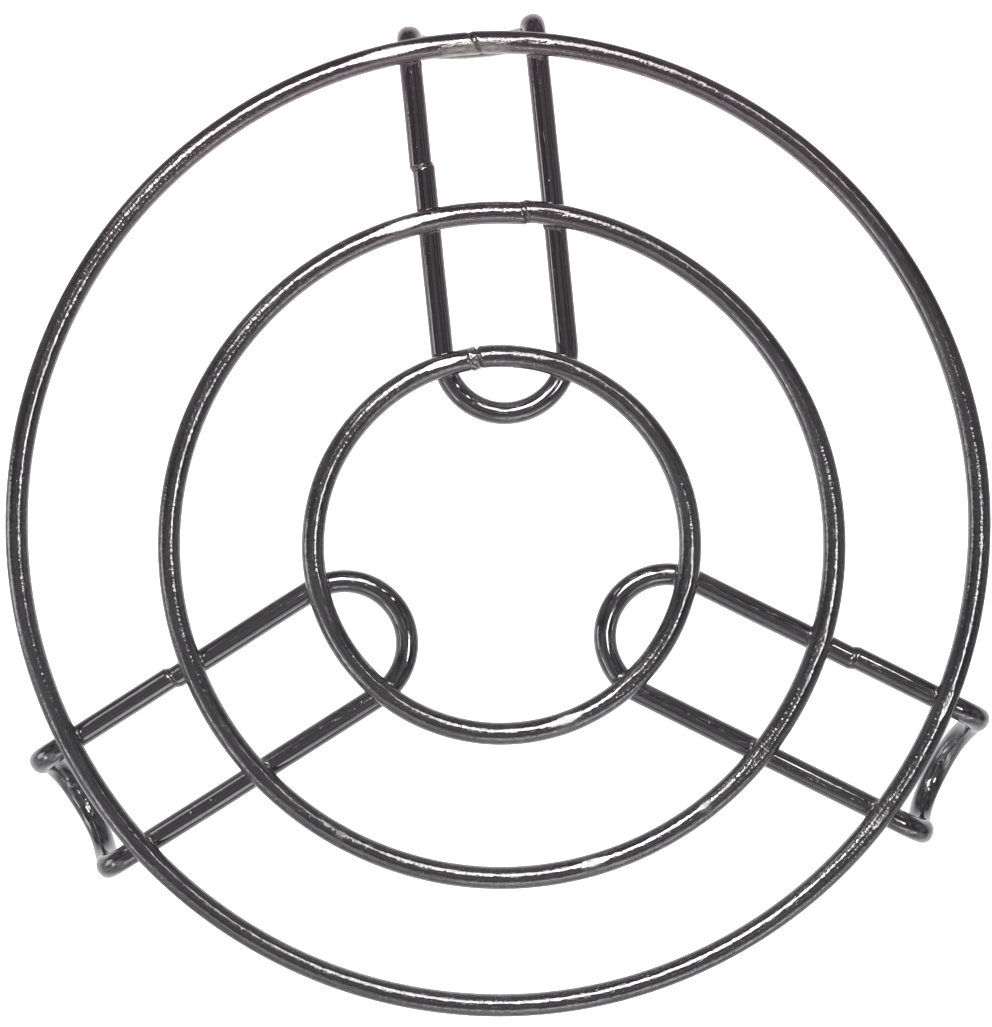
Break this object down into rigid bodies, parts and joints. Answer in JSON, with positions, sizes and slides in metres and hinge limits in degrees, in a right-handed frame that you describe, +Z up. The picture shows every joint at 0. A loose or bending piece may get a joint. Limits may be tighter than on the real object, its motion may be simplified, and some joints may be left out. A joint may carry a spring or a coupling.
{
  "type": "cooling rack",
  "caption": "Round wire cooling rack: concentric wire rings welded onto looped wire legs whose bent-down ends are its feet.",
  "frame": {"origin": "on the table, under the common centre of the middle and inner rings", "axes": "+Z up through the rings; the rear leg points along +Y, turned about 6 degrees towards -X; the left leg points towards -X -Y and the right leg towards +X -Y"},
  "size_m": [0.1715, 0.1747, 0.027],
  "materials": {
    "wire": "plated steel wire, glossy and dark grey, with faint drawing lines, smudges and fine scratches",
    "weld": "resistance-weld metal, rougher and paler than the wire, slightly lumpy"
  },
  "bodies": {
    "root": {"outer_ring": "wire", "middle_ring": "wire", "inner_ring": "wire", "rear_leg": "wire", "left_leg": "wire", "right_leg": "wire", "outer_ring_butt_weld": "weld", "middle_ring_butt_weld": "weld", "inner_ring_butt_weld": "weld", "rear_leg_butt_weld": "weld", "left_leg_butt_weld": "weld", "right_leg_butt_weld": "weld", "outer_ring_rear_leg_weld_left": "weld", "outer_ring_rear_leg_weld_right": "weld", "outer_ring_left_leg_weld_left": "weld", "outer_ring_left_leg_weld_right": "weld", "outer_ring_right_leg_weld_left": "weld", "outer_ring_right_leg_weld_right": "weld", "middle_ring_rear_leg_weld_left": "weld", "middle_ring_rear_leg_weld_right": "weld", "middle_ring_left_leg_weld_left": "weld", "middle_ring_left_leg_weld_right": "weld", "middle_ring_right_leg_weld_left": "weld", "middle_ring_right_leg_weld_right": "weld", "inner_ring_rear_leg_weld_left": "weld", "inner_ring_rear_leg_weld_right": "weld", "inner_ring_left_leg_weld_left": "weld", "inner_ring_left_leg_weld_right": "weld", "inner_ring_right_leg_weld_left": "weld", "inner_ring_right_leg_weld_right": "weld"}
  },
  "joints": []
}
